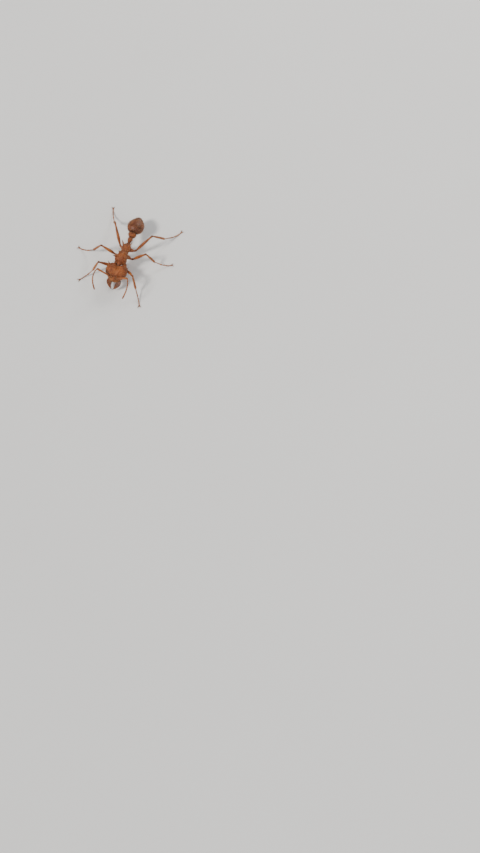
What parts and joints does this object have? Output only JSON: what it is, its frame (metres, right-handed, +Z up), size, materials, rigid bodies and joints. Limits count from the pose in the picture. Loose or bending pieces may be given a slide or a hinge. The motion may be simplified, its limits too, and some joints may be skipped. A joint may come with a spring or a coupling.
{
  "type": "leafcutter ant",
  "caption": "Life-size still model of a leafcutter ant worker standing on its feet, with a heart-shaped head, paired back spines, elbowed feelers and toothed jaws.",
  "frame": {"origin": "on the floor under the middle of the ant's outline", "axes": "+Z up; the ant faces -Y; +X is its left side"},
  "size_m": [0.0146, 0.0156, 0.0045],
  "materials": {
    "cuticle": "dull rusty brown cuticle with a fine grain",
    "gaster": "darker satin brown cuticle with fine pits",
    "limb": "paler amber brown cuticle, satin",
    "mandible": "smooth dark red-brown, black along the teeth",
    "eye": "glossy black with fine facets"
  },
  "bodies": {
    "root": {"coxa_front_left": "limb", "coxa_front_right": "limb", "coxa_hind_left": "limb", "coxa_hind_right": "limb", "coxa_mid_left": "limb", "coxa_mid_right": "limb", "eye_left": "eye", "eye_right": "eye", "femur_front_left": "limb", "femur_front_right": "limb", "femur_hind_left": "limb", "femur_hind_right": "limb", "femur_mid_left": "limb", "femur_mid_right": "limb", "funiculus_left": "limb", "funiculus_right": "limb", "gaster_1": "gaster", "gaster_2": "gaster", "gaster_3": "gaster", "gaster_4": "gaster", "head": "cuticle", "mandible_left": "mandible", "mandible_right": "mandible", "mesothorax": "cuticle", "petiole": "cuticle", "postpetiole": "cuticle", "pronotum": "cuticle", "propodeum": "cuticle", "scape_left": "limb", "scape_right": "limb", "tarsus_front_left": "limb", "tarsus_front_right": "limb", "tarsus_hind_left": "limb", "tarsus_hind_right": "limb", "tarsus_mid_left": "limb", "tarsus_mid_right": "limb", "tibia_front_left": "limb", "tibia_front_right": "limb", "tibia_hind_left": "limb", "tibia_hind_right": "limb", "tibia_mid_left": "limb", "tibia_mid_right": "limb"}
  },
  "joints": []
}
